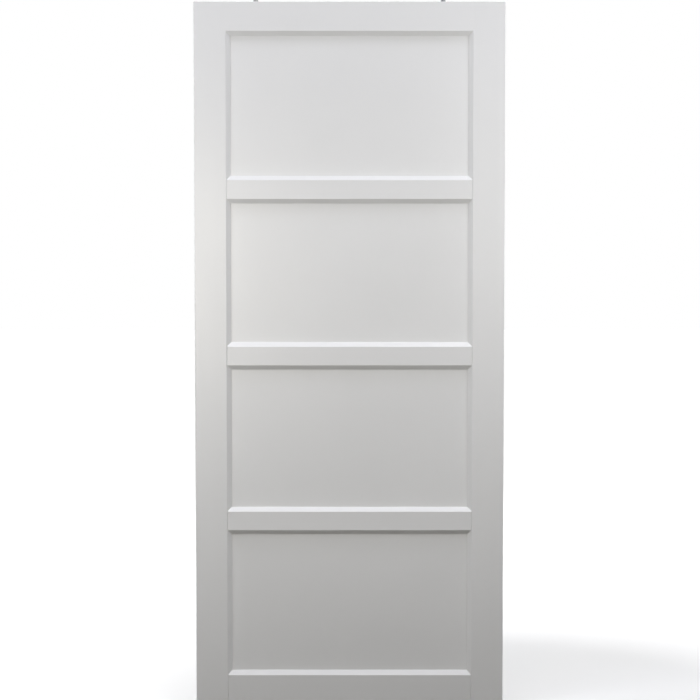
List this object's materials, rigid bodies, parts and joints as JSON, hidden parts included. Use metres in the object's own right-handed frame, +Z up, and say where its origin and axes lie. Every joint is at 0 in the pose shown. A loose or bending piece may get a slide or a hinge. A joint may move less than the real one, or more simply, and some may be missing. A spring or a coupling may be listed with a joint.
{
  "type": "sliding door",
  "caption": "White painted stile-and-rail door leaf with bevelled panels, hung on roller carriages from a slotted box track with wall brackets, end stops and a floor guide.",
  "frame": {"origin": "on the floor, at the centre of the floor guide's base, under the middle of the track and on the leaf's middle plane", "axes": "+X along the track, the way the leaf opens; +Y from the front to the wall; +Z up"},
  "size_m": [1.86, 0.055, 2.2152],
  "materials": {
    "white_paint": "white satin paint over engineered timber",
    "beech": "bare turned beech",
    "zinc_steel": "bright zinc-plated steel",
    "die_cast_zinc": "tumbled die-cast zinc",
    "alloy": "satin anodised extrusion",
    "nylon": "dark moulded nylon",
    "rubber": "black moulded rubber"
  },
  "bodies": {
    "fixed_gear": {"track": "alloy", "bracket_1": "zinc_steel", "bracket_2": "zinc_steel", "bracket_3": "zinc_steel", "bracket_4": "zinc_steel", "bracket_screws": "zinc_steel", "left_stop": "alloy", "right_stop": "alloy", "stop_screws": "zinc_steel", "left_buffer": "rubber", "right_buffer": "rubber", "floor_guide": "nylon"},
    "leaf": {"left_stile": "white_paint", "right_stile": "white_paint", "top_rail": "white_paint", "upper_mid_rail": "white_paint", "centre_mid_rail": "white_paint", "lower_mid_rail": "white_paint", "bottom_rail": "white_paint", "panel_1": "white_paint", "panel_2": "white_paint", "panel_3": "white_paint", "panel_4": "white_paint", "dowels": "beech", "left_plate": "zinc_steel", "left_plate_screws": "zinc_steel", "left_bolt": "zinc_steel", "left_lock_nut": "zinc_steel", "left_carriage": "die_cast_zinc", "right_plate": "zinc_steel", "right_plate_screws": "zinc_steel", "right_bolt": "zinc_steel", "right_lock_nut": "zinc_steel", "right_carriage": "die_cast_zinc"},
    "wheelset_1": {"axle_1": "zinc_steel", "front_wheel_1": "nylon", "back_wheel_1": "nylon"},
    "wheelset_2": {"axle_2": "zinc_steel", "front_wheel_2": "nylon", "back_wheel_2": "nylon"},
    "wheelset_3": {"axle_3": "zinc_steel", "front_wheel_3": "nylon", "back_wheel_3": "nylon"},
    "wheelset_4": {"axle_4": "zinc_steel", "front_wheel_4": "nylon", "back_wheel_4": "nylon"}
  },
  "joints": [
    {"name": "door_slide", "type": "slide", "parent": "fixed_gear", "child": "leaf", "axis": [1, 0, 0], "range_m": [0, 0.88]},
    {"name": "wheelset_1_roll", "type": "hinge", "parent": "leaf", "child": "wheelset_1", "pos_m": [-0.742, 0, 2.1513], "axis": [0, 1, 0], "continuous": true},
    {"name": "wheelset_2_roll", "type": "hinge", "parent": "leaf", "child": "wheelset_2", "pos_m": [-0.698, 0, 2.1513], "axis": [0, 1, 0], "continuous": true},
    {"name": "wheelset_3_roll", "type": "hinge", "parent": "leaf", "child": "wheelset_3", "pos_m": [-0.182, 0, 2.1513], "axis": [0, 1, 0], "continuous": true},
    {"name": "wheelset_4_roll", "type": "hinge", "parent": "leaf", "child": "wheelset_4", "pos_m": [-0.138, 0, 2.1513], "axis": [0, 1, 0], "continuous": true}
  ],
  "couplings": [
    {"joint": "wheelset_1_roll", "follows": "door_slide", "rad_per_m": 90.909},
    {"joint": "wheelset_2_roll", "follows": "door_slide", "rad_per_m": 90.909},
    {"joint": "wheelset_3_roll", "follows": "door_slide", "rad_per_m": 90.909},
    {"joint": "wheelset_4_roll", "follows": "door_slide", "rad_per_m": 90.909}
  ]
}
